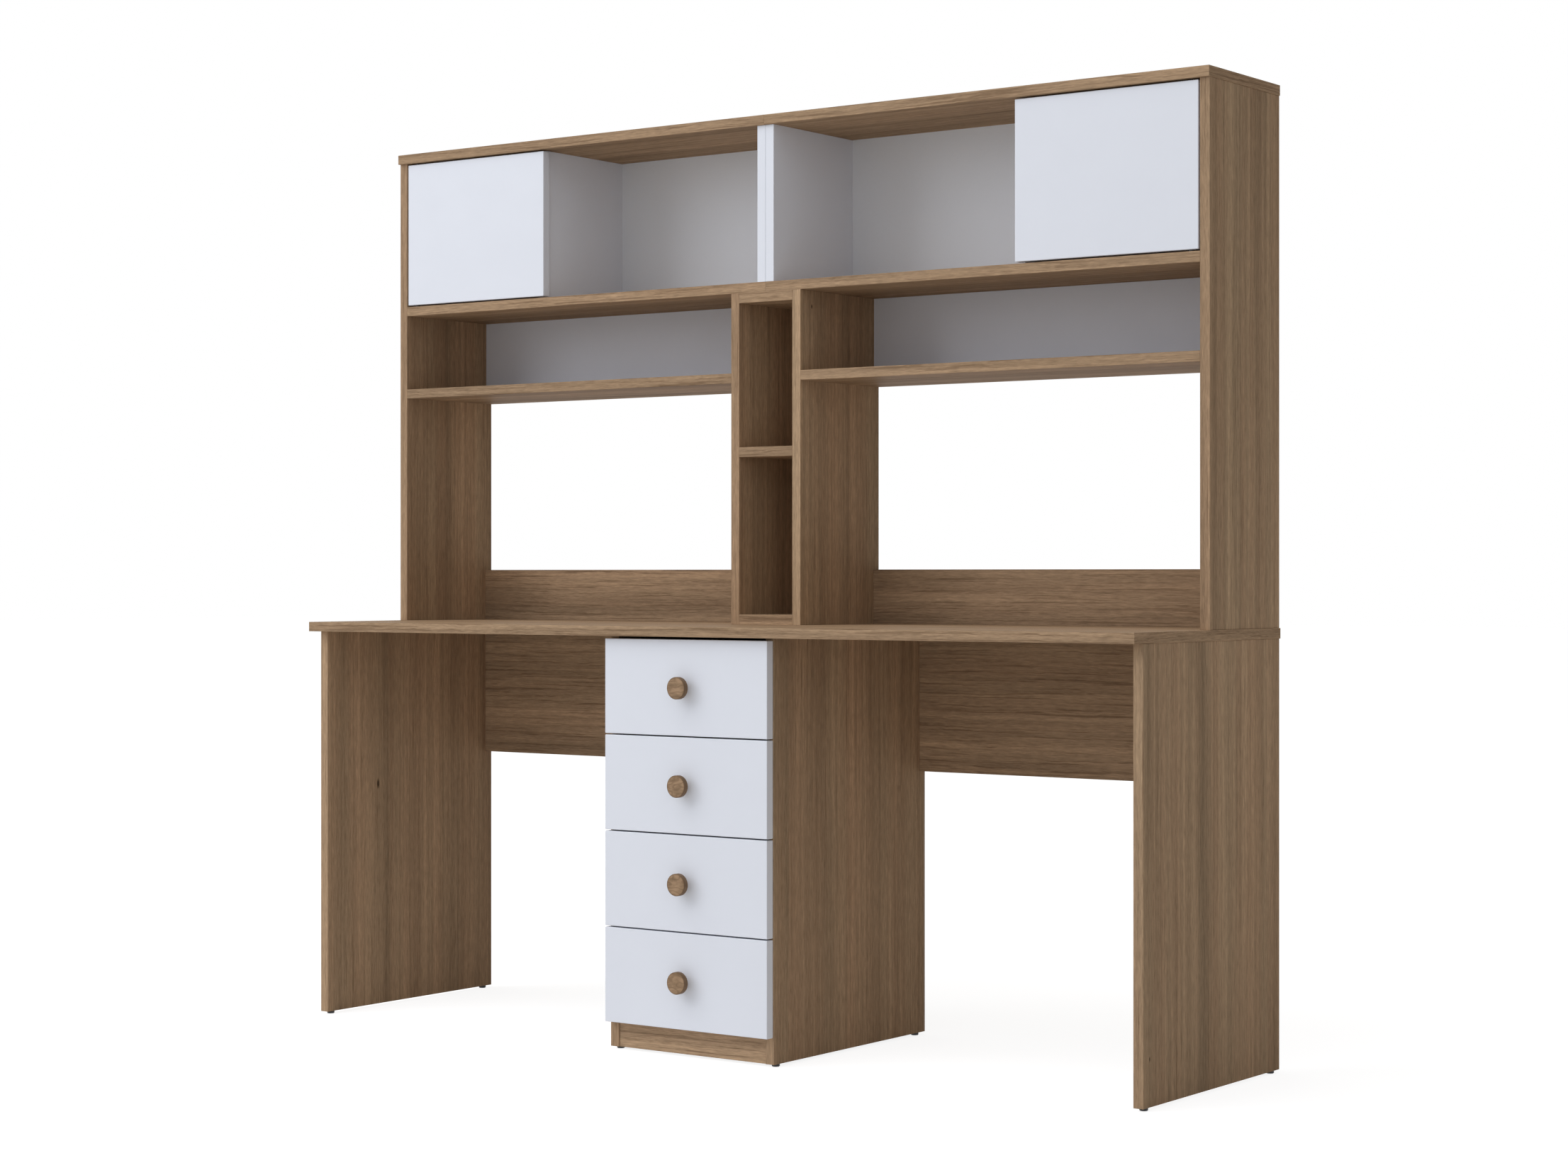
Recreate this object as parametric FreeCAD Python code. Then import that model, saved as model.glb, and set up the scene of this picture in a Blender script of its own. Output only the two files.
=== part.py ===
import FreeCAD, Part
import os

# Double student desk: a long desktop on two leg panels and a middle pedestal with four drawers,
# carrying a hutch with two closed cabinets, open shelves and a middle column of cells.
# Millimetres. X runs to the right, Y to the back, Z up from the floor.
# The origin lies on the floor under the middle of the whole desk.

# Boards
board = 18.0
hardboard = 3.0
edge_round = 0.5
front_edge_round = 1.4

# Desk
overall_width = 1800.0
desk_height = 754.0
side_overhang = 1.5
leg_depth = 471.0
desk_front_overhang = 31.0
desk_back_overhang = 1.5
modesty_height = 252.0
glide_height = 5.0
glide_diameter = 14.0
glide_chamfer = 1.0
glide_inset = 17.5
glide_peg_diameter = 6.0
glide_peg_length = 10.0

# Hutch
hutch_depth = 250.0
hutch_top_overhang = 5.0
open_bay_height = 439.0
shelf_row_height = 145.0
cabinet_height = 283.0
back_rail_height = 100.0
shelf_back_thickness = 16.0
cabinet_back_margin = 5.0
upright_gap = 0.4

# Middle column
column_width = 155.0
column_lower_cell = 286.0

# Cabinet doors, hung on pivot pins in their top and bottom edges
door_width = 351.0
door_gap = 3.0
finger_grip = 9.0
door_stop_gap = 2.0
swing_clearance = 0.8
pivot_diameter = 5.0
pivot_depth = 10.0
pivot_collar_diameter = 10.0
catch_diameter = 8.0
catch_length = 14.0

# Drawer pedestal
pedestal_width = 360.0
pedestal_front_recess = 1.0
plinth_show = 46.0
plinth_cover = 14.0
plinth_recess = 2.5
drawer_count = 4
drawer_gap = 2.5
drawer_top_gap = 4.5
drawer_front_inset = 1.5
drawer_front_gap = 0.5

# Drawer boxes
box_rear_gap = 67.5
box_rise = 22.0
box_top_drop = 31.0
box_wall = 12.0
bottom_rise = 8.0
groove_depth = 6.0

# Knobs
knob_diameter = 39.0
knob_reach = 25.0
knob_head = 10.5
knob_stem_diameter = 12.0
knob_flare = 3.0
knob_front_round = 1.2
knob_back_round = 1.2

# Drawer runners
runner_room = 12.5
sheet = 1.2
runner_end_inset = 4.0
runner_rise = 2.0
channel_height = 24.0
carry_gap = 2.0
flange_gap = 1.0
roller_side_gap = 1.5
roller_floor_gap = 4.5
roller_inset = 14.0
roller_axle_diameter = 5.0
channel_cut = 28.0

# Dowels
dowel_diameter = 8.0
dowel_end_depth = 20.0
dowel_face_share = 0.42
upright_dowel_inset = 30.0
level_dowel_inset = 60.0
short_joint_share = 0.3

# Clearances
slide_clearance = 0.3
pivot_clearance = 0.1
hole_clearance = 0.2
hole_end_clearance = 0.5
touch_limit = 0.01

# Planes worked out from the sizes above
half_width = overall_width / 2
side_outer = half_width - side_overhang
side_inner = side_outer - board
column_outer = column_width / 2
column_inner = column_outer - board
pedestal_outer = pedestal_width / 2
pedestal_inner = pedestal_outer - board

pedestal_front_depth = leg_depth - pedestal_front_recess
drawer_face_depth = pedestal_front_depth + drawer_front_gap + board
front_reach = max(drawer_face_depth + knob_reach, leg_depth + desk_front_overhang)
rear_reach = max(hardboard, desk_back_overhang)
back = (front_reach - rear_reach) / 2
hutch_front = back - hutch_depth
pedestal_front = back - pedestal_front_depth
drawer_front_back = pedestal_front - drawer_front_gap

desktop_under = desk_height - board
open_shelf_under = desk_height + open_bay_height
open_shelf_top = open_shelf_under + board
cabinet_floor_under = open_shelf_top + shelf_row_height
cabinet_floor_top = cabinet_floor_under + board
hutch_top_under = cabinet_floor_top + cabinet_height
hutch_top = hutch_top_under + board
column_shelf_under = desk_height + board + column_lower_cell
drawer_zone_under = glide_height + plinth_show
drawer_zone_height = desktop_under - drawer_top_gap - drawer_zone_under
drawer_front_height = (drawer_zone_height - (drawer_count - 1) * drawer_gap) / drawer_count
box_outer = pedestal_inner - runner_room
box_inner = box_outer - box_wall
box_height = drawer_front_height - box_rise - box_top_drop
box_rear = back - hardboard - box_rear_gap

# The door's outer corner swings past the hutch side: the pivot stands far enough in to clear it
swing_room = door_gap - swing_clearance
pivot_inset = ((board / 2) ** 2 - swing_room ** 2) / (2 * swing_room)


def vector(x, y, z):
    return FreeCAD.Vector(x, y, z)


def mirrored(span):
    """The same span on the other side of the middle plane."""
    return (-span[1], -span[0])


def block(x, y, z):
    """A sharp-edged box from three (low, high) spans."""
    size = [span[1] - span[0] for span in (x, y, z)]
    return Part.makeBox(size[0], size[1], size[2], vector(x[0], y[0], z[0]))


def soft_block(x, y, z, radius):
    """A box whose edges are all rounded, by less than a quarter of its thickness."""
    solid = block(x, y, z)
    thickness = min(span[1] - span[0] for span in (x, y, z))
    return solid.makeFillet(min(radius, thickness / 4), solid.Edges)


def rod(diameter, start, direction, length):
    return Part.makeCylinder(diameter / 2, length, start, direction)


# Boards, each as its X, Y and Z spans
boards = {}


def add_board(name, x, y, z):
    boards[name] = (x, y, z)


def add_pair(name, x, y, z):
    """A right-hand board and its mirror image on the left."""
    boards["right_" + name] = (x, y, z)
    boards["left_" + name] = (mirrored(x), y, z)


def lay_out_desk():
    full_depth = (back - leg_depth, back)
    upright = (glide_height, desktop_under)
    rear_board = (back - board, back)
    pedestal_depth = (pedestal_front, back - hardboard)
    desktop_depth = (back - leg_depth - desk_front_overhang, back + desk_back_overhang)
    plinth_front = pedestal_front + plinth_recess
    add_board("desktop", (-half_width, half_width), desktop_depth, (desktop_under, desk_height))
    add_pair("leg_panel", (side_inner, side_outer), full_depth, upright)
    add_pair("modesty_panel", (pedestal_outer, side_inner), rear_board,
             (desktop_under - modesty_height, desktop_under))
    add_pair("pedestal_side", (pedestal_inner, pedestal_outer), pedestal_depth, upright)
    add_board("pedestal_plinth", (-pedestal_inner, pedestal_inner), (plinth_front, plinth_front + board),
              (glide_height, drawer_zone_under + plinth_cover))
    add_board("pedestal_back", (-pedestal_outer, pedestal_outer), (back - hardboard, back), upright)


def lay_out_hutch():
    depth = (hutch_front, back)
    top_depth = (hutch_front - hutch_top_overhang, back)
    cabinet = (cabinet_floor_top, hutch_top_under)
    bay = (column_outer, side_inner)
    door_inner = side_inner - door_gap - door_width
    divider_inner = door_inner + finger_grip
    divider_front = hutch_front + board + door_stop_gap
    add_pair("hutch_side", (side_inner, side_outer), depth, (desk_height, hutch_top_under))
    add_pair("hutch_top", (0, half_width), top_depth, (hutch_top_under, hutch_top))
    add_pair("cabinet_floor", (0, side_inner), depth, (cabinet_floor_under, cabinet_floor_top))
    add_pair("centre_upright", (upright_gap / 2, upright_gap / 2 + board), depth, cabinet)
    add_pair("cabinet_divider", (divider_inner, divider_inner + board), (divider_front, back), cabinet)
    add_pair("cabinet_back", (0, side_outer - cabinet_back_margin), (back, back + hardboard),
             (cabinet_floor_under + cabinet_back_margin, hutch_top - cabinet_back_margin))
    add_pair("open_shelf", bay, depth, (open_shelf_under, open_shelf_top))
    add_pair("shelf_back", bay, (back - shelf_back_thickness, back), (open_shelf_top, cabinet_floor_under))
    add_pair("back_rail", bay, (back - board, back), (desk_height, desk_height + back_rail_height))


def lay_out_column():
    depth = (hutch_front, back - board)
    between = (-column_inner, column_inner)
    full_height = (desk_height, cabinet_floor_under)
    add_pair("column_side", (column_inner, column_outer), (hutch_front, back), full_height)
    add_board("column_back", between, (back - board, back), full_height)
    add_board("column_top_board", between, depth, (cabinet_floor_under - board, cabinet_floor_under))
    add_board("column_middle_shelf", between, depth, (column_shelf_under, column_shelf_under + board))
    add_board("column_bottom_board", between, depth, (desk_height, desk_height + board))


# Equal boards that share a node
shared_nodes = {
    "column_top_board": "column_end_boards",
    "column_bottom_board": "column_end_boards",
}

# Dowelled joints: the end of the first board butts against a face of the second
single_joints = [
    ("left_cabinet_floor", "right_cabinet_floor"),
    ("left_hutch_top", "right_hutch_top"),
]
side_joints = [
    ("leg_panel", "desktop"),
    ("pedestal_side", "desktop"),
    ("hutch_side", "desktop"),
    ("column_side", "desktop"),
    ("pedestal_plinth", "pedestal_side"),
    ("column_top_board", "column_side"),
    ("column_middle_shelf", "column_side"),
    ("column_bottom_board", "column_side"),
    ("column_back", "column_side"),
    ("modesty_panel", "leg_panel"),
    ("modesty_panel", "pedestal_side"),
    ("hutch_side", "hutch_top"),
    ("cabinet_floor", "hutch_side"),
    ("column_side", "cabinet_floor"),
    ("centre_upright", "cabinet_floor"),
    ("centre_upright", "hutch_top"),
    ("cabinet_divider", "cabinet_floor"),
    ("cabinet_divider", "hutch_top"),
    ("open_shelf", "hutch_side"),
    ("open_shelf", "column_side"),
    ("shelf_back", "hutch_side"),
    ("shelf_back", "column_side"),
    ("back_rail", "hutch_side"),
    ("back_rail", "column_side"),
]


def all_joints():
    """Every joint by full board names: a paired board has one on each side."""
    joints = list(single_joints)
    for side in ("left_", "right_"):
        for first, second in side_joints:
            joints.append(tuple(name if name in boards else side + name for name in (first, second)))
    return joints


def meeting_plane(end_board, face_board):
    """The axis across the joint, its place, and the way from the end board to the face board."""
    for axis in range(3):
        if abs(end_board[axis][1] - face_board[axis][0]) < touch_limit:
            return axis, end_board[axis][1], 1
        if abs(end_board[axis][0] - face_board[axis][1]) < touch_limit:
            return axis, end_board[axis][0], -1
    raise ValueError("boards do not touch")


def dowel_places(end_board, face_board):
    """Two points on the joint, in the middle of the thickness, and the direction across it."""
    axis, place, way = meeting_plane(end_board, face_board)
    shared = {}
    for other in range(3):
        if other != axis:
            low = max(end_board[other][0], face_board[other][0])
            high = min(end_board[other][1], face_board[other][1])
            shared[other] = (low, high)
    long_axis = max(shared, key=lambda other: shared[other][1] - shared[other][0])
    low, high = shared.pop(long_axis)
    inset = upright_dowel_inset if axis == 2 else level_dowel_inset
    inset = min(inset, (high - low) * short_joint_share)
    short_axis, short_span = shared.popitem()
    direction = [0, 0, 0]
    direction[axis] = way
    points = []
    for along in (low + inset, high - inset):
        point = [0, 0, 0]
        point[axis] = place
        point[long_axis] = along
        point[short_axis] = sum(short_span) / 2
        points.append(vector(*point))
    return points, vector(*direction)


def add_dowels(solids):
    """Drill both boards of every joint and return the dowels."""
    dowels = []
    face_depth = board * dowel_face_share
    hole_diameter = dowel_diameter + 2 * hole_clearance
    length = dowel_end_depth + face_depth
    for first, second in all_joints():
        points, direction = dowel_places(boards[first], boards[second])
        for point in points:
            start = point - direction * dowel_end_depth
            hole = rod(hole_diameter, start - direction * hole_end_clearance, direction,
                       length + 2 * hole_end_clearance)
            solids[first] = solids[first].cut(hole)
            solids[second] = solids[second].cut(hole)
            dowels.append(rod(dowel_diameter, start, direction, length))
    return dowels


# Glides under the leg panels and the pedestal sides
def add_glides(solids):
    glides = []
    for side in ("left_", "right_"):
        for upright in ("leg_panel", "pedestal_side"):
            x_span, y_span, z_span = boards[side + upright]
            middle = sum(x_span) / 2
            for y in (y_span[0] + glide_inset, y_span[1] - glide_inset):
                foot = rod(glide_diameter, vector(middle, y, 0), vector(0, 0, 1), glide_height)
                rim = [edge for edge in foot.Edges if edge.BoundBox.ZMax < touch_limit]
                foot = foot.makeChamfer(glide_chamfer, rim)
                top = vector(middle, y, glide_height)
                peg = rod(glide_peg_diameter, top, vector(0, 0, 1), glide_peg_length)
                hole = rod(glide_peg_diameter + 2 * hole_clearance, top, vector(0, 0, 1),
                           glide_peg_length + hole_end_clearance)
                solids[side + upright] = solids[side + upright].cut(hole)
                glides.append(foot.fuse(peg).removeSplitter())
    return glides


# Doors with their pivot pins and catches
def add_doors(solids):
    pins = []
    catches = []
    door_depth = (hutch_front, hutch_front + board)
    door_height = (cabinet_floor_top + door_gap, hutch_top_under - door_gap)
    outer = side_inner - door_gap
    pivot_y = hutch_front + board / 2
    up = vector(0, 0, 1)
    pin_hole = pivot_diameter + 2 * pivot_clearance
    pin_length = 2 * pivot_depth + door_gap
    pin_bases = {"cabinet_floor": cabinet_floor_top, "hutch_top": door_height[1]}
    collar_height = door_gap - slide_clearance
    catch_y = door_depth[1] + slide_clearance
    for side, sign in (("left_", -1), ("right_", 1)):
        span = (outer - door_width, outer) if sign > 0 else (-outer, door_width - outer)
        door = soft_block(span, door_depth, door_height, front_edge_round)
        pivot_x = sign * (outer - pivot_inset)
        for carrier, base in pin_bases.items():
            low = vector(pivot_x, pivot_y, base - pivot_depth)
            pin = rod(pivot_diameter, low, up, pin_length)
            hole = rod(pin_hole, low - up * hole_end_clearance, up, pin_length + 2 * hole_end_clearance)
            door = door.cut(hole)
            solids[side + carrier] = solids[side + carrier].cut(hole)
            if carrier == "cabinet_floor":
                collar = rod(pivot_collar_diameter, vector(pivot_x, pivot_y, base), up, collar_height)
                pin = pin.fuse(collar).removeSplitter()
            pins.append(pin)
        divider = boards[side + "cabinet_divider"]
        catch_start = vector(sum(divider[0]) / 2, catch_y, sum(divider[2]) / 2)
        catch_hole = rod(catch_diameter + 2 * hole_clearance, catch_start, vector(0, 1, 0),
                         catch_length + hole_end_clearance)
        solids[side + "cabinet_divider"] = solids[side + "cabinet_divider"].cut(catch_hole)
        catches.append(rod(catch_diameter, catch_start, vector(0, 1, 0), catch_length))
        solids[side + "door"] = door
    return pins, catches


def knob(height):
    """A turned knob: a stem that flares into a round flat head with soft edges."""
    stem = knob_stem_diameter / 2
    head = knob_diameter / 2
    under = knob_reach - knob_head
    corner = 0.5 ** 0.5
    face = drawer_front_back - board

    def at(radius, forward):
        return vector(radius, face - forward, height)

    def arc(centre, radius, first, middle, last):
        points = [at(centre[0] + radius * turn[0], centre[1] + radius * turn[1])
                  for turn in (first, middle, last)]
        return Part.Arc(*points).toShape()

    def line(first, last):
        return Part.LineSegment(at(*first), at(*last)).toShape()

    flare_centre = (stem + knob_flare, under - knob_flare)
    back_centre = (head - knob_back_round, under + knob_back_round)
    front_centre = (head - knob_front_round, knob_reach - knob_front_round)
    outline = [
        line((0, 0), (stem, 0)),
        line((stem, 0), (stem, under - knob_flare)),
        arc(flare_centre, knob_flare, (-1, 0), (-corner, corner), (0, 1)),
        line((stem + knob_flare, under), (head - knob_back_round, under)),
        arc(back_centre, knob_back_round, (0, -1), (corner, -corner), (1, 0)),
        line((head, under + knob_back_round), (head, knob_reach - knob_front_round)),
        arc(front_centre, knob_front_round, (1, 0), (corner, corner), (0, 1)),
        line((head - knob_front_round, knob_reach), (0, knob_reach)),
        line((0, knob_reach), (0, 0)),
    ]
    profile = Part.Face(Part.Wire(outline))
    return profile.revolve(vector(0, face, height), vector(0, 1, 0), 360)


def both_sides(shapes):
    """The right-hand shapes and their mirror images."""
    return shapes + [shape.mirror(vector(0, 0, 0), vector(1, 0, 0)) for shape in shapes]


def runner_heights(box_under):
    """The underside of the cabinet channel and of the drawer rail's carrying flange."""
    channel_under = box_under + runner_rise
    return channel_under, channel_under + channel_height + carry_gap


# Across a runner, from the pedestal side to the drawer box
channel_web = (pedestal_inner - sheet, pedestal_inner)
rail_web = (box_outer, box_outer + sheet)
channel_flange = (rail_web[1] + flange_gap, channel_web[0] + sheet / 2)
carry_flange = (rail_web[1] - sheet / 2, channel_web[0] - flange_gap)
roller_span = (rail_web[1] + roller_side_gap, channel_web[0] - roller_side_gap)


def roller(diameter, y, z):
    """A roller with its axle hole."""
    start = vector(roller_span[0], y, z)
    along = vector(1, 0, 0)
    width = roller_span[1] - roller_span[0]
    bore = rod(roller_axle_diameter + 2 * hole_clearance, start, along, width)
    return rod(diameter, start, along, width).cut(bore)


def axle(first, last, y, z):
    return rod(roller_axle_diameter, vector(first, y, z), vector(1, 0, 0), last - first)


def cabinet_runner(box_under):
    """The right-hand channel on the pedestal side, and its front roller."""
    channel_under, carry_under = runner_heights(box_under)
    front = pedestal_front + runner_end_inset
    rear = box_rear - runner_end_inset
    channel_top = channel_under + channel_height
    roller_top = carry_under - slide_clearance
    roller_under = channel_under + sheet + roller_floor_gap
    axis_y = front + roller_inset
    axis_z = (roller_top + roller_under) / 2
    web = block(channel_web, (front, rear), (channel_under, channel_top))
    lower_flange = block(channel_flange, (front, rear), (channel_under, channel_under + sheet))
    upper_flange = block(channel_flange, (front + channel_cut, rear), (channel_top - sheet, channel_top))
    channel = web.fuse(lower_flange).fuse(upper_flange)
    channel = channel.fuse(axle(roller_span[0], channel_web[0] + sheet / 2, axis_y, axis_z))
    return channel.removeSplitter(), roller(roller_top - roller_under, axis_y, axis_z)


def drawer_runner(box_under):
    """The right-hand rail on the drawer side, and its rear roller inside the channel."""
    channel_under, carry_under = runner_heights(box_under)
    front = drawer_front_back + runner_end_inset
    rear = box_rear - runner_end_inset
    axis_y = rear - roller_inset
    axis_z = channel_under + channel_height / 2
    rail = block(rail_web, (front, rear), (channel_under, carry_under + sheet))
    rail = rail.fuse(block(carry_flange, (front, rear), (carry_under, carry_under + sheet)))
    rail = rail.fuse(axle(rail_web[1] - sheet / 2, roller_span[1], axis_y, axis_z))
    diameter = channel_height - 2 * sheet - 2 * slide_clearance
    return rail.removeSplitter(), roller(diameter, axis_y, axis_z)


def drawer(under):
    """Front, box walls, bottom, knob and runners of the drawer whose front starts at this height."""
    box_under = under + box_rise
    front_half = pedestal_outer - drawer_front_inset
    walls_z = (box_under, box_under + box_height)
    front = soft_block((-front_half, front_half), (drawer_front_back - board, drawer_front_back),
                       (under, under + drawer_front_height), front_edge_round)
    right_wall = soft_block((box_inner, box_outer), (drawer_front_back, box_rear), walls_z, edge_round)
    rear_wall = soft_block((-box_inner, box_inner), (box_rear - box_wall, box_rear), walls_z, edge_round)
    walls = both_sides([right_wall]) + [rear_wall]
    groove_half = box_inner + groove_depth
    groove_under = box_under + bottom_rise
    groove = block((-groove_half, groove_half),
                   (drawer_front_back - groove_depth, box_rear - box_wall + groove_depth),
                   (groove_under, groove_under + hardboard + hole_clearance))
    bottom_half = groove_half - slide_clearance
    bottom = block((-bottom_half, bottom_half),
                   (drawer_front_back - groove_depth + slide_clearance,
                    box_rear - box_wall + groove_depth - slide_clearance),
                   (groove_under, groove_under + hardboard))
    rail, rear_roller = drawer_runner(box_under)
    return {
        "front": [front.cut(groove)],
        "box": [wall.cut(groove) for wall in walls],
        "bottom": [bottom],
        "knob": [knob(under + drawer_front_height / 2)],
        "runners": both_sides([rail, rear_roller]),
    }


def build():
    lay_out_desk()
    lay_out_hutch()
    lay_out_column()
    solids = {name: soft_block(*spans, edge_round) for name, spans in boards.items()}
    groups = {"wood_dowels": add_dowels(solids), "floor_glides": add_glides(solids)}
    groups["door_pivot_pins"], groups["door_catches"] = add_doors(solids)
    rails = []
    rollers = []
    for index in range(drawer_count):
        under = drawer_zone_under + (drawer_count - 1 - index) * (drawer_front_height + drawer_gap)
        for piece, shapes in drawer(under).items():
            groups["drawer_%d_%s" % (index + 1, piece)] = shapes
        rail, front_roller = cabinet_runner(under + box_rise)
        rails.append(rail)
        rollers.append(front_roller)
    groups["runner_rails"] = both_sides(rails)
    groups["runner_front_rollers"] = both_sides(rollers)
    for name, solid in solids.items():
        groups.setdefault(shared_nodes.get(name, name), []).append(solid)
    return groups


def export(groups):
    os.makedirs("parts", exist_ok=True)
    for name, shapes in groups.items():
        shape = shapes[0] if len(shapes) == 1 else Part.makeCompound(shapes)
        shape.exportStep("parts/" + name + ".step")


export(build())
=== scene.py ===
import math

import bpy
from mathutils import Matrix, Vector


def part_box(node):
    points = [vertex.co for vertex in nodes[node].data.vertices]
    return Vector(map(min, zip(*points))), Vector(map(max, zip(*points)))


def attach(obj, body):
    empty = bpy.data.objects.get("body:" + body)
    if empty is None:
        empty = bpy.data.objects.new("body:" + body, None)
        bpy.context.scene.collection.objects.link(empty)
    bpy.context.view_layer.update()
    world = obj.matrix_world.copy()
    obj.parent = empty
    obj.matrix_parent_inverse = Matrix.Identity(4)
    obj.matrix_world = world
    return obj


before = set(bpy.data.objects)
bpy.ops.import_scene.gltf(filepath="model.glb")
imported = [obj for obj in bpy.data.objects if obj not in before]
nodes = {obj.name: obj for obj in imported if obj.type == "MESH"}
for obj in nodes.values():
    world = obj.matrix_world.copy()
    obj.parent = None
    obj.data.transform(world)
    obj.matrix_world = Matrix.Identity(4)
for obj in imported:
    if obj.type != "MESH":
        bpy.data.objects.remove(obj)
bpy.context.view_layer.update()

# The range that most values of a noise lie in; every bump below is a depth in metres and a strength
NOISE_RANGE = (0.3, 0.7)

# Walnut melamine: linear colours, shine, and the figure's ranges and strengths
WALNUT_OLIVE = (0.375, 0.258, 0.158)
WALNUT_RED = (0.388, 0.254, 0.154)
WALNUT_DARK = (0.150, 0.090, 0.050)
WALNUT_GLOSS = 0.02
WALNUT_ROUGHNESS = (0.60, 0.50)
WALNUT_BUMP = (0.0002, 0.2)
END_FACING = 0.7
TINT_RANGE = (0.34, 0.66)
RIPPLE_SHARE = 0.17
BAND_CONTRAST = 1.1
STREAK_CONTRAST = 0.9
FIBRE_CONTRAST = 1.0
LINE_SOFTNESS = 0.20
LINE_DARKNESS = 0.60
# Layers of the figure: scale along the grain, scale across it, detail and roughness
WANDER = (3.0, 9.0, 1.0, 0.5)
RIPPLE = (40.0, 60.0, 1.0, 0.5)
TINT = (0.3, 20.0, 3.0, 0.6)
BANDS = (0.3, 17.0, 3.0, 0.6)
STREAKS = (1.0, 100.0, 3.0, 0.75)
FIBRES = (42.0, 480.0, 2.0, 0.7)
LINES = (4.0, 260.0, 2.0, 0.6)
# How far each board's figure is moved, so that no two boards are alike
BOARD_SHIFTS = (17.3, 5.1, 9.7)

# Knots: place on the board's face, half width and half length
KNOTS = (
    ((-0.8805, -0.0770, 0.4350), 0.0040, 0.0110),
    ((0.8985, -0.1950, 0.0810), 0.0024, 0.0055),
    ((0.0775, 0.0406, 1.3275), 0.0022, 0.0045),
)
KNOT_CORE = (0.045, 0.026, 0.014)
KNOT_EDGE = (0.7, 1.6)
KNOT_DARKNESS = 0.9
KNOT_RAGGEDNESS = 0.8

# Turned wood: colours, then layers as above with soft growth rings and a rim darkened by painted shade
KNOB_PALE = (0.385, 0.252, 0.149)
KNOB_DEEP = (0.262, 0.171, 0.099)
BEECH_PALE = (0.620, 0.430, 0.260)
BEECH_DEEP = (0.520, 0.340, 0.195)
TURNED_GLOSS = 0.12
TURNED_ROUGHNESS = (0.55, 0.42)
TURNED_BUMP = (0.0002, 0.3)
MOTTLE = (38.0, 105.0, 4.0, 0.6)
MOTTLE_RANGE = (0.36, 0.64)
PORES = (70.0, 620.0, 2.0, 0.5)
PORE_RANGE = (0.52, 0.74)
PORE_DARKNESS = 0.25
FLOW = (26.0, 58.0, 1.0, 0.5)
RING_COUNT = 5.0
RING_SOFTNESS = 0.30
RING_DARKNESS = 0.45
# Painted shade round the rim of turned pieces: where it starts and ends, and how dark it gets
RIM_RANGE = (0.43, 0.495)
RIM_PAINTED_SHADE = 0.80

# White melamine: a faint cloud in the colour and a fine pearl in the surface (scale and detail)
WHITE_MELAMINE = (0.774, 0.792, 0.842)
WHITE_CLOUD = (0.620, 0.640, 0.700)
WHITE_GLOSS = 0.26
WHITE_ROUGHNESS = (0.40, 0.47)
WHITE_BUMP = (0.0001, 0.12)
CLOUD = (14.0, 3.0)
CLOUD_SHARE = 0.035
PEARL = (900.0, 2.0)

# Hardboard: lacquered on one side and raw on the other, with fibres (scale, detail and roughness)
HARDBOARD_WHITE = (0.782, 0.795, 0.818)
HARDBOARD_SPECK = (0.600, 0.600, 0.620)
HARDBOARD_RAW = (0.270, 0.165, 0.090)
HARDBOARD_FIBRE = (0.360, 0.235, 0.140)
HARDBOARD_BUMP = (0.0002, 0.2)
RAW_ROUGHNESS = 0.78
LACQUER_ROUGHNESS = 0.50
LACQUER_FACING = 0.5
PULP = (260.0, 5.0, 0.7)
PULP_RANGE = (0.35, 0.65)
SPECK_SHARE = 0.04

# Moulded plastic: a fine eroded texture (scale and detail), lighter by a factor and an offset
PLASTIC_BLACK = (0.012, 0.012, 0.013)
NYLON_WHITE = (0.72, 0.72, 0.69)
EROSION = (1400.0, 3.0)
EROSION_RANGE = (0.35, 0.65)
EROSION_LIGHTENING = (1.15, 0.01)
EROSION_ROUGHNESS = 0.06
PLASTIC_BUMP = (0.0001, 0.3)

# Steel: rolling marks that run along Y (scales across and along, detail)
STEEL_COATED = (0.70, 0.70, 0.68)
STEEL_BRIGHT = (0.56, 0.56, 0.57)
STEEL_DARK = (0.030, 0.030, 0.031)
MARKS = (700.0, 25.0, 3.0)
MARK_DARKENING = 0.9
MARK_ROUGHNESS = (-0.05, 0.08)
STEEL_BUMP = (0.0001, 0.1)

# Which finish a node gets by the ending of its name; the other boards are level wood
ENDINGS = {
    "_knob": "knob_wood",
    "_bottom": "drawer_floor",
    "cabinet_back": "back_panel",
    "pedestal_back": "back_panel",
    "_runners": "coated",
    "runner_rails": "coated",
    "front_rollers": "nylon",
    "floor_glides": "black",
    "pivot_pins": "dark",
    "door_catches": "bright",
    "wood_dowels": "beech",
    "_front": "white",
    "_box": "white",
    "_door": "white",
    "centre_upright": "white",
    "cabinet_divider": "white",
    "shelf_back": "white",
    "leg_panel": "upright_wood",
    "pedestal_side": "upright_wood",
    "hutch_side": "upright_wood",
    "column_side": "upright_wood",
    "column_back": "upright_wood",
}

# Fastener heads: radius, height, fall to the rim and depth of the cross recess
NAIL = (0.0023, 0.0006, 0.0003, 0.0)
KNOB_SCREW = (0.0045, 0.0026, 0.0012, 0.0014)
RUNNER_SCREW = (0.0036, 0.0009, 0.0004, 0.0007)
STRIKE = (0.0060, 0.0002, 0.0, 0.0)
HEAD_RINGS = (0.18, 0.36, 0.54, 0.72, 0.88, 1.0)
HEAD_STEPS = 24
CROSS_ARMS = 4
CROSS_REACH = 0.6
SHARP_ANGLE = math.radians(35.0)

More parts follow.
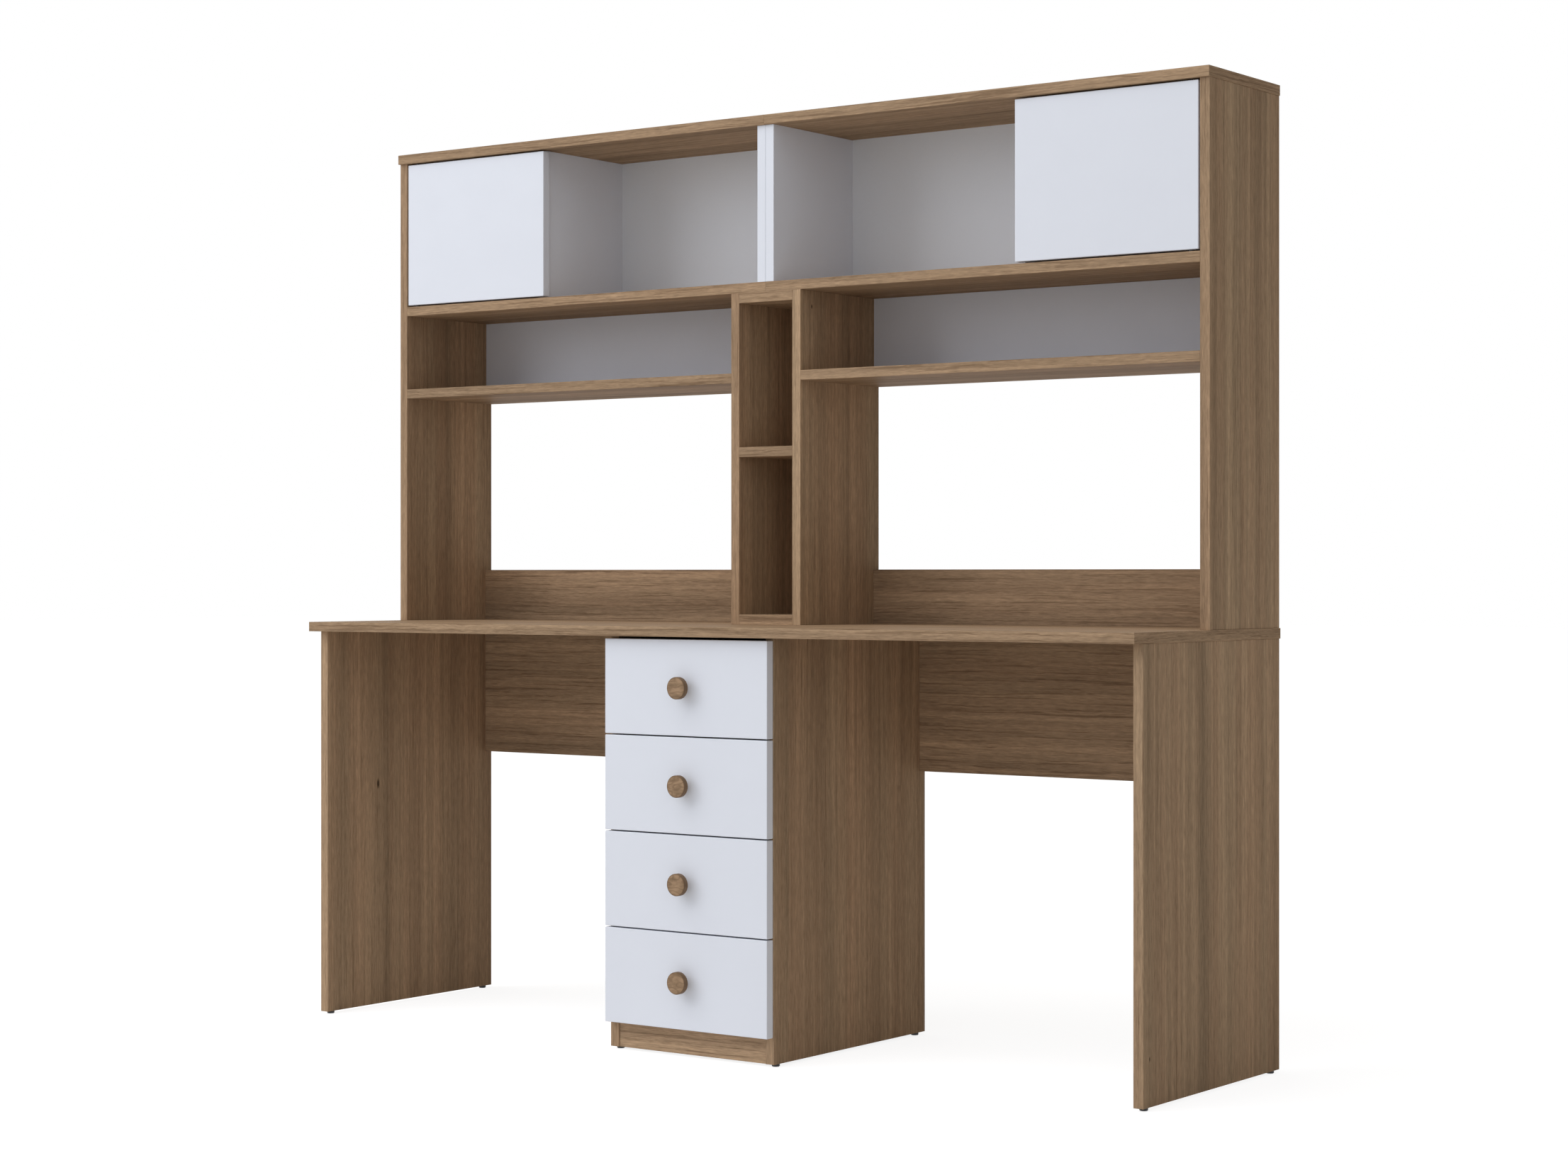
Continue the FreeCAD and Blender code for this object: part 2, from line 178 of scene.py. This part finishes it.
# Where the fasteners sit
NAIL_INSET = 0.0065
NAIL_PITCH = 0.095
PEDESTAL_NAIL_INSET = 0.009
PEDESTAL_NAIL_END = 0.020
DRAWERS = 4
RUNNER_SHEET = 0.0012
CHANNEL_HEIGHT = 0.024
RUNNER_SCREW_PITCH = 0.150
SCREW_FRONT = 0.045
SCREW_REAR = 0.060
TO_BACK = (0, 1, 0)

# Camera, solved from the straight board edges of the photograph
PHOTO_SIZE = (2212, 1658)
FOCAL_PIXELS = 4207.33
PRINCIPAL_PIXEL = (1104.53, 810.01)
CAMERA_PLACE = (3.1917, -4.3340, 0.8456)
CAMERA_TURN = math.radians(36.0)
SENSOR_WIDTH = 36.0

# Light: wide soft domes of the sky (direction, cosines where the edge starts and ends, strength,
# tints at the edge and in the middle)
COOL = (0.955, 1.000, 1.090)
WARM = (1.030, 0.985, 0.905)
PLAIN = (1.0, 1.0, 1.0)
BLACK = (0.0, 0.0, 0.0)
DOMES = (
    ((-0.10, -0.97, 0.20), (-0.10, 0.60), 0.56, WARM, COOL),
    ((-0.85, 0.50, 0.17), (0.25, 0.85), 0.48, WARM, WARM),
    ((0.97, 0.00, 0.20), (0.20, 0.90), 0.22, PLAIN, PLAIN),
)
DOME_TINT_RANGE = (0.1, 0.9)
# Lamps: place, size, power and colour of each, all turned to the same target
TARGET = (0.0, 0.0, 0.9)
LAMPS = {
    "softbox": ((-4.0, -6.0, 11.0), 11.0, 630.0, PLAIN),
    "key": ((-3.4, -4.1, 2.8), 2.5, 44.0, COOL),
}
FLOOR_SIZE = 80.0
FLOOR_COLOUR = (0.92, 0.92, 0.92)
FLOOR_SHADE = (0.36, 0.36, 0.36)
FLOOR_GLOW = 0.86


class Finish:
    """A material's node tree, with short calls for the nodes that the finishes use."""

    def __init__(self, name):
        self.material = bpy.data.materials.new(name)
        self.material.use_nodes = True
        self.tree = self.material.node_tree
        self.surface = self.tree.nodes["Principled BSDF"]

    def node(self, kind, **settings):
        made = self.tree.nodes.new(kind)
        for name, value in settings.items():
            setattr(made, name, value)
        return made

    def put(self, socket, value):
        """Set a socket to a number or colour, or link it to another socket."""
        if isinstance(value, bpy.types.NodeSocket):
            self.tree.links.new(value, socket)
        elif isinstance(value, tuple) and len(socket.default_value) == 4:
            socket.default_value = (*value, 1.0)
        else:
            socket.default_value = value

    def show(self, name, value):
        """Set or link one of the surface shader's sockets."""
        self.put(self.surface.inputs[name], value)

    def math(self, operation, first, second=0.0, third=0.0):
        made = self.node("ShaderNodeMath", operation=operation)
        for socket, value in zip(made.inputs, (first, second, third)):
            self.put(socket, value)
        return made.outputs[0]

    def vector(self, x, y, z):
        made = self.node("ShaderNodeCombineXYZ")
        for socket, value in zip(made.inputs, (x, y, z)):
            self.put(socket, value)
        return made.outputs[0]

    def split(self, vector):
        made = self.node("ShaderNodeSeparateXYZ")
        self.put(made.inputs[0], vector)
        return made.outputs

    def noise(self, vector, scale=1.0, detail=2.0, roughness=0.5):
        made = self.node("ShaderNodeTexNoise")
        self.put(made.inputs["Vector"], vector)
        self.put(made.inputs["Scale"], scale)
        self.put(made.inputs["Detail"], detail)
        self.put(made.inputs["Roughness"], roughness)
        return made.outputs["Fac"]

    def span(self, value, range_in, range_out=(0.0, 1.0)):
        """Turn one range of values smoothly into another."""
        made = self.node("ShaderNodeMapRange", interpolation_type="SMOOTHSTEP")
        for socket, number in zip(made.inputs, (value, *range_in, *range_out)):
            self.put(socket, number)
        return made.outputs["Result"]

    def mix(self, factor, first, second, blend="MIX"):
        made = self.node("ShaderNodeMix", data_type="RGBA", blend_type=blend)
        self.put(made.inputs["Factor"], factor)
        colours = [socket for socket in made.inputs if socket.type == "RGBA"]
        self.put(colours[0], first)
        self.put(colours[1], second)
        return next(socket for socket in made.outputs if socket.type == "RGBA")

    def bump(self, height, depth_and_strength):
        made = self.node("ShaderNodeBump")
        self.put(made.inputs["Height"], height)
        self.put(made.inputs["Distance"], depth_and_strength[0])
        self.put(made.inputs["Strength"], depth_and_strength[1])
        self.show("Normal", made.outputs["Normal"])

    def coordinates(self, kind):
        return self.node("ShaderNodeTexCoord").outputs[kind]

    def chance(self):
        """A number from 0 to 1 that differs from board to board."""
        return self.node("ShaderNodeObjectInfo").outputs["Random"]


def add_knots(f, axes, fibres, colour):
    """Dark ragged ovals over a colour, where the knots are."""
    for centre, half_width, half_length in KNOTS:
        halves = (half_width, half_width, half_length)
        steps = [f.math("SUBTRACT", axis, value) for axis, value in zip(axes, centre)]
        steps = [f.math("DIVIDE", step, half) for step, half in zip(steps, halves)]
        reach = f.node("ShaderNodeVectorMath", operation="LENGTH")
        f.put(reach.inputs[0], f.vector(*steps))
        ragged = f.math("MULTIPLY_ADD", fibres, KNOT_RAGGEDNESS, reach.outputs["Value"])
        colour = f.mix(f.span(ragged, KNOT_EDGE, (KNOT_DARKNESS, 0.0)), colour, KNOT_CORE)
    return colour


def walnut(name, grain, waviness, lines_from, hue):
    """Wood-grain melamine: figure along the grain axis, turned along the edge band on board ends."""
    f = Finish(name)
    axes = f.split(f.coordinates("Object"))
    facing = f.split(f.coordinates("Normal"))
    other = 2 if grain == 0 else 0
    on_end = f.math("GREATER_THAN", f.math("ABSOLUTE", facing[grain]), END_FACING)
    swap = f.math("MULTIPLY", on_end, f.math("SUBTRACT", axes[1], axes[grain]))
    shift = f.chance()
    along = f.math("MULTIPLY_ADD", shift, BOARD_SHIFTS[0], f.math("ADD", axes[grain], swap))
    straight = (f.math("MULTIPLY_ADD", shift, BOARD_SHIFTS[1], f.math("SUBTRACT", axes[1], swap)),
                f.math("MULTIPLY_ADD", shift, BOARD_SHIFTS[2], axes[other]))

    def layer(across, settings):
        along_scale, across_scale, detail, roughness = settings
        first, second = (f.math("MULTIPLY", axis, across_scale) for axis in across)
        stretched = f.vector(f.math("MULTIPLY", along, along_scale), first, second)
        return f.noise(stretched, detail=detail, roughness=roughness)

    def centred(value):
        return f.math("SUBTRACT", value, 0.5)

    def contrast(value, amount):
        return f.math("MULTIPLY_ADD", centred(value), amount, 1.0)

    wander = centred(layer(straight, WANDER))
    drift = f.math("MULTIPLY_ADD", centred(layer(straight, RIPPLE)), RIPPLE_SHARE, wander)
    wavy = tuple(f.math("MULTIPLY_ADD", drift, waviness, axis) for axis in straight)
    streaks = layer(wavy, STREAKS)
    fibres = layer(wavy, FIBRES)
    shade = contrast(layer(wavy, BANDS), BAND_CONTRAST)
    shade = f.math("MULTIPLY", shade, contrast(streaks, STREAK_CONTRAST))
    shade = f.math("MULTIPLY", shade, contrast(fibres, FIBRE_CONTRAST))
    redness = f.span(layer(wavy, TINT), TINT_RANGE, (0.5 - hue, 0.5 + hue))
    line_range = (lines_from, lines_from + LINE_SOFTNESS)
    dark = f.span(layer(wavy, LINES), line_range, (0.0, LINE_DARKNESS))
    colour = f.mix(redness, WALNUT_OLIVE, WALNUT_RED)
    colour = f.mix(1.0, colour, f.vector(shade, shade, shade), "MULTIPLY")
    colour = f.mix(dark, colour, WALNUT_DARK)
    f.show("Base Color", add_knots(f, axes, fibres, colour))
    f.show("Roughness", f.span(streaks, NOISE_RANGE, WALNUT_ROUGHNESS))
    f.show("Specular IOR Level", WALNUT_GLOSS)
    f.bump(f.math("SUBTRACT", fibres, dark), WALNUT_BUMP)
    return f.material


def melamine(name, colour):
    """Satin white board with a fine pearl texture."""
    f = Finish(name)
    place = f.coordinates("Object")
    cloud = f.noise(place, *CLOUD)
    pearl = f.noise(place, *PEARL)
    f.show("Base Color", f.mix(f.span(cloud, NOISE_RANGE, (0.0, CLOUD_SHARE)), colour, WHITE_CLOUD))
    f.show("Roughness", f.span(cloud, NOISE_RANGE, WHITE_ROUGHNESS))
    f.show("Specular IOR Level", WHITE_GLOSS)
    f.bump(pearl, WHITE_BUMP)
    return f.material


def hardboard(name, axis, sign):
    """Thin board, lacquered white on the side that faces along the axis and raw brown elsewhere."""
    f = Finish(name)
    facing = f.split(f.coordinates("Normal"))[axis]
    lacquered = f.math("GREATER_THAN", f.math("MULTIPLY", facing, sign), LACQUER_FACING)
    fibre = f.noise(f.coordinates("Object"), *PULP)
    raw = f.mix(f.span(fibre, PULP_RANGE), HARDBOARD_RAW, HARDBOARD_FIBRE)
    specks = f.span(fibre, NOISE_RANGE, (0.0, SPECK_SHARE))
    white = f.mix(specks, HARDBOARD_WHITE, HARDBOARD_SPECK)
    smoothing = LACQUER_ROUGHNESS - RAW_ROUGHNESS
    f.show("Base Color", f.mix(lacquered, raw, white))
    f.show("Roughness", f.math("MULTIPLY_ADD", lacquered, smoothing, RAW_ROUGHNESS))
    f.bump(fibre, HARDBOARD_BUMP)
    return f.material


def rim_painted_shade(f):
    """Painted shade on the rounded side: from 0 in the middle of a turned piece to its full strength at
    the outer edge.
    """
    box = f.split(f.coordinates("Generated"))
    sideways = f.math("SUBTRACT", box[0], 0.5)
    upward = f.math("SUBTRACT", box[2], 0.5)
    square = f.math("MULTIPLY_ADD", sideways, sideways, f.math("MULTIPLY", upward, upward))
    return f.span(f.math("SQRT", square), RIM_RANGE, (0.0, RIM_PAINTED_SHADE))


def turned_wood(name, pale, deep):
    """Turned wood: mottled figure with flowing rings across the face, and painted shade darkening the rim.
    """
    f = Finish(name)
    axes = f.split(f.coordinates("Object"))
    shift = f.chance()

    def layer(settings):
        along_scale, across_scale, detail, roughness = settings
        stretched = f.vector(f.math("MULTIPLY_ADD", axes[0], along_scale, shift),
                             f.math("MULTIPLY", axes[1], across_scale),
                             f.math("MULTIPLY_ADD", axes[2], across_scale, shift))
        return f.noise(stretched, detail=detail, roughness=roughness)

    mottle = layer(MOTTLE)
    pores = layer(PORES)
    rings = f.math("PINGPONG", f.math("MULTIPLY", layer(FLOW), RING_COUNT), 0.5)
    colour = f.mix(f.span(mottle, MOTTLE_RANGE), deep, pale)
    colour = f.mix(f.span(rings, (0.0, RING_SOFTNESS), (RING_DARKNESS, 0.0)), colour, WALNUT_DARK)
    colour = f.mix(f.span(pores, PORE_RANGE, (0.0, PORE_DARKNESS)), colour, WALNUT_DARK)
    # Painted shade: the colour is darkened towards the outer rim
    f.show("Base Color", f.mix(rim_painted_shade(f), colour, WALNUT_DARK))
    f.show("Roughness", f.span(mottle, NOISE_RANGE, TURNED_ROUGHNESS))
    f.show("Specular IOR Level", TURNED_GLOSS)
    f.bump(pores, TURNED_BUMP)
    return f.material


def moulded(name, colour, roughness):
    """Moulded plastic with a fine eroded texture."""
    f = Finish(name)
    grain = f.noise(f.coordinates("Object"), *EROSION)
    factor, offset = EROSION_LIGHTENING
    lighter = tuple(min(1.0, value * factor + offset) for value in colour)
    roughnesses = (roughness - EROSION_ROUGHNESS, roughness + EROSION_ROUGHNESS)
    f.show("Base Color", f.mix(f.span(grain, EROSION_RANGE), colour, lighter))
    f.show("Roughness", f.span(grain, NOISE_RANGE, roughnesses))
    f.bump(grain, PLASTIC_BUMP)
    return f.material


def metal(name, colour, roughness, metallic):
    """Plated or coated steel with faint rolling marks."""
    f = Finish(name)
    axes = f.split(f.coordinates("Object"))
    across, along, detail = MARKS
    scales = (across, along, across)
    stretched = f.vector(*(f.math("MULTIPLY", axis, scale) for axis, scale in zip(axes, scales)))
    marks = f.noise(stretched, detail=detail)
    darker = tuple(value * MARK_DARKENING for value in colour)
    roughnesses = tuple(roughness + change for change in MARK_ROUGHNESS)
    f.show("Base Color", f.mix(f.span(marks, NOISE_RANGE), darker, colour))
    f.show("Roughness", f.span(marks, NOISE_RANGE, roughnesses))
    f.show("Metallic", metallic)
    f.bump(marks, STEEL_BUMP)
    return f.material


def make_finishes():
    return {
        "level_wood": walnut("walnut_level", grain=0, waviness=0.013, lines_from=0.50, hue=0.2),
        "upright_wood": walnut("walnut_upright", grain=2, waviness=0.008, lines_from=0.58, hue=0.5),
        "white": melamine("white_melamine", WHITE_MELAMINE),
        "back_panel": hardboard("hardboard_back", axis=1, sign=-1),
        "drawer_floor": hardboard("hardboard_bottom", axis=2, sign=1),
        "knob_wood": turned_wood("knob_wood", KNOB_PALE, KNOB_DEEP),
        "beech": turned_wood("dowel_wood", BEECH_PALE, BEECH_DEEP),
        "black": moulded("black_plastic", PLASTIC_BLACK, roughness=0.5),
        "nylon": moulded("roller_nylon", NYLON_WHITE, roughness=0.4),
        "coated": metal("runner_steel", STEEL_COATED, roughness=0.4, metallic=0.0),
        "bright": metal("bright_steel", STEEL_BRIGHT, roughness=0.28, metallic=1.0),
        "dark": metal("dark_steel", STEEL_DARK, roughness=0.45, metallic=0.0),
    }


def dress(finishes):
    """Give every CAD node its finish by the ending of its name."""
    for name, node in nodes.items():
        fitting = [finish for ending, finish in ENDINGS.items() if name.endswith(ending)]
        chosen = fitting[0] if fitting else "level_wood"
        node.data.materials.clear()
        node.data.materials.append(finishes[chosen])


def head(radius, height, crown, recess):
    """Points and faces of a round domed head on a plane, with a cross recess where it has a depth."""
    points = [(0.0, 0.0, height - recess)]
    for ring in HEAD_RINGS:
        for step in range(HEAD_STEPS):
            angle = 2 * math.pi * step / HEAD_STEPS
            on_cross = step % (HEAD_STEPS // CROSS_ARMS) == 0 and ring < CROSS_REACH
            level = height - crown * ring ** 2 - (recess if on_cross else 0.0)
            points.append((radius * ring * math.cos(angle), radius * ring * math.sin(angle), level))
    points += [(x, y, 0.0) for x, y, _ in points[-HEAD_STEPS:]]
    faces = []
    for step in range(HEAD_STEPS):
        after = (step + 1) % HEAD_STEPS
        faces.append((0, 1 + step, 1 + after))
        for ring in range(len(HEAD_RINGS)):
            inner = 1 + ring * HEAD_STEPS
            outer = inner + HEAD_STEPS
            faces.append((inner + step, outer + step, outer + after, inner + after))
    base = 1 + len(HEAD_RINGS) * HEAD_STEPS
    faces.append(tuple(reversed(range(base, base + HEAD_STEPS))))
    return points, faces


def fasten(name, body, finish, shape, seats):
    """One piece of equal heads that ride on a body. A seat is a place and the way its head points."""
    points = []
    faces = []
    for place, outward in seats:
        first = len(points)
        turn = Vector(outward).to_track_quat("Z", "Y")
        points += [Vector(place) + turn @ Vector(point) for point in shape[0]]
        faces += [[first + index for index in face] for face in shape[1]]
    mesh = bpy.data.meshes.new(name)
    mesh.from_pydata(points, [], faces)
    mesh.shade_smooth()
    mesh.set_sharp_from_angle(angle=SHARP_ANGLE)
    mesh.materials.append(finish)
    piece = bpy.data.objects.new(name, mesh)
    bpy.context.scene.collection.objects.link(piece)
    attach(piece, body)


def spread(first, last, pitch):
    """Evenly spaced numbers from first to last, about a pitch apart."""
    steps = max(1, round(abs(last - first) / pitch))
    return [first + (last - first) * index / steps for index in range(steps + 1)]


def middle(node):
    """The middle of a node's box."""
    low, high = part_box(node)
    return (low + high) / 2


def nail_backs(steel):
    """Nails round the hardboard backs, into the boards in front of them."""
    nail = head(*NAIL)
    for side in ("left", "right"):
        low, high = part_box(side + "_cabinet_back")
        columns = (low.x + NAIL_INSET, middle(side + "_cabinet_divider").x, high.x - NAIL_INSET)
        rows = spread(low.z + NAIL_INSET, high.z - NAIL_INSET, NAIL_PITCH)
        edge = spread(columns[0], columns[1], NAIL_PITCH)[:-1] + spread(columns[1], columns[2], NAIL_PITCH)
        spots = [(x, z) for x in edge for z in (rows[0], rows[-1])]
        spots += [(x, z) for x in columns for z in rows[1:-1]]
        seats = [((x, high.y, z), TO_BACK) for x, z in spots]
        fasten(side + "_cabinet_back_nails", "desk", steel, nail, seats)
    low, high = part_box("pedestal_back")
    columns = (low.x + PEDESTAL_NAIL_INSET, high.x - PEDESTAL_NAIL_INSET)
    rows = spread(low.z + PEDESTAL_NAIL_END, high.z - PEDESTAL_NAIL_END, NAIL_PITCH)
    seats = [((x, high.y, z), TO_BACK) for x in columns for z in rows]
    fasten("pedestal_back_nails", "desk", steel, nail, seats)


def screw_drawers(steel):
    """Screws of the knobs and of both halves of the runners."""
    pan = head(*KNOB_SCREW)
    flat = head(*RUNNER_SCREW)
    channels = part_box("runner_rails")
    channel_face = channels[1].x - RUNNER_SHEET
    channel_places = spread(channels[0].y + SCREW_FRONT, channels[1].y - SCREW_REAR, RUNNER_SCREW_PITCH)
    channel_seats = []
    for number in range(1, DRAWERS + 1):
        drawer = "drawer_%d" % number
        knob_seat = (0.0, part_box(drawer + "_front")[1].y, middle(drawer + "_knob").z)
        fasten(drawer + "_knob_screw", drawer, steel, pan, [(knob_seat, TO_BACK)])
        low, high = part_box(drawer + "_runners")
        rail_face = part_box(drawer + "_box")[1].x + RUNNER_SHEET
        rail_places = spread(low.y + SCREW_FRONT, high.y - SCREW_REAR, RUNNER_SCREW_PITCH)
        height = low.z + CHANNEL_HEIGHT / 2
        seats = []
        for side in (-1, 1):
            seats += [((side * rail_face, y, height), (side, 0, 0)) for y in rail_places]
            channel_seats += [((side * channel_face, y, height), (-side, 0, 0)) for y in channel_places]
        fasten(drawer + "_runner_screws", drawer, steel, flat, seats)
    fasten("cabinet_runner_screws", "desk", steel, flat, channel_seats)


def plate_doors(steel):
    """The thin steel discs that the catches hold, on the backs of the doors."""
    height = middle("door_catches").z
    for side in ("left", "right"):
        place = (middle(side + "_cabinet_divider").x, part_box(side + "_door")[1].y, height)
        fasten(side + "_door_strike", side + "_door", steel, head(*STRIKE), [(place, TO_BACK)])


def seen_rays(f):
    """1 for rays that carry a picture of the surroundings: straight, mirrored or through glass."""
    path = f.node("ShaderNodeLightPath")
    seen = f.math("MAXIMUM", path.outputs["Is Camera Ray"], path.outputs["Is Glossy Ray"])
    return f.math("MAXIMUM", seen, path.outputs["Is Transmission Ray"])


def floor_paper():
    """White to the eye with a soft shadow, and plain paper for the light that it throws back."""
    f = Finish("floor_paper")
    f.tree.nodes.remove(f.surface)
    plain = f.node("ShaderNodeBsdfDiffuse")
    f.put(plain.inputs["Color"], FLOOR_COLOUR)
    shaded = f.node("ShaderNodeBsdfDiffuse")
    f.put(shaded.inputs["Color"], FLOOR_SHADE)
    glow = f.node("ShaderNodeEmission")
    f.put(glow.inputs["Strength"], FLOOR_GLOW)
    pale = f.node("ShaderNodeAddShader")
    f.put(pale.inputs[0], shaded.outputs[0])
    f.put(pale.inputs[1], glow.outputs[0])
    choice = f.node("ShaderNodeMixShader")
    f.put(choice.inputs[0], seen_rays(f))
    f.put(choice.inputs[1], plain.outputs[0])
    f.put(choice.inputs[2], pale.outputs[0])
    f.put(f.tree.nodes["Material Output"].inputs["Surface"], choice.outputs[0])
    return f.material


def make_floor():
    """The plain floor that the desk stands on."""
    half = FLOOR_SIZE / 2
    corners = [(-half, -half, 0), (half, -half, 0), (half, half, 0), (-half, half, 0)]
    mesh = bpy.data.meshes.new("floor")
    mesh.from_pydata(corners, [], [(0, 1, 2, 3)])
    mesh.materials.append(floor_paper())
    floor = bpy.data.objects.new("floor", mesh)
    bpy.context.scene.collection.objects.link(floor)


class WorldFinish(Finish):
    """The same short calls on a world's node tree."""

    def __init__(self, world):
        world.use_nodes = True
        self.tree = world.node_tree


def make_world():
    """A studio sky of soft domes, white where it is seen straight or in a reflection."""
    world = bpy.data.worlds.new("studio")
    bpy.context.scene.world = world
    f = WorldFinish(world)
    background = f.tree.nodes["Background"]
    sky = f.coordinates("Generated")
    light = BLACK
    for direction, edge, strength, edge_tint, middle_tint in DOMES:
        dot = f.node("ShaderNodeVectorMath", operation="DOT_PRODUCT")
        f.put(dot.inputs[0], sky)
        f.put(dot.inputs[1], direction)
        glow = f.span(dot.outputs["Value"], edge, (0.0, strength))
        tint = f.mix(f.span(dot.outputs["Value"], DOME_TINT_RANGE), edge_tint, middle_tint)
        light = f.mix(glow, light, tint, "ADD")
    f.put(background.inputs["Color"], f.mix(seen_rays(f), light, PLAIN))


def add_lamp(name, place, size, power, colour):
    data = bpy.data.lights.new(name, "AREA")
    data.size = size
    data.energy = power
    data.color = colour
    lamp = bpy.data.objects.new(name, data)
    lamp.location = place
    lamp.rotation_euler = (Vector(TARGET) - Vector(place)).to_track_quat("-Z", "Y").to_euler()
    bpy.context.scene.collection.objects.link(lamp)


def make_camera():
    data = bpy.data.cameras.new("camera")
    data.sensor_width = SENSOR_WIDTH
    data.lens = SENSOR_WIDTH * FOCAL_PIXELS / PHOTO_SIZE[0]
    data.shift_x = (PHOTO_SIZE[0] / 2 - PRINCIPAL_PIXEL[0]) / PHOTO_SIZE[0]
    data.shift_y = (PRINCIPAL_PIXEL[1] - PHOTO_SIZE[1] / 2) / PHOTO_SIZE[0]
    camera = bpy.data.objects.new("camera", data)
    camera.location = CAMERA_PLACE
    camera.rotation_euler = (math.pi / 2, 0.0, CAMERA_TURN)
    bpy.context.scene.collection.objects.link(camera)
    bpy.context.scene.camera = camera


finishes = make_finishes()
dress(finishes)
nail_backs(finishes["bright"])
screw_drawers(finishes["bright"])
plate_doors(finishes["bright"])
make_floor()
make_world()
for lamp_name, lamp_settings in LAMPS.items():
    add_lamp(lamp_name, *lamp_settings)
make_camera()
bpy.context.scene.view_settings.view_transform = "Standard"
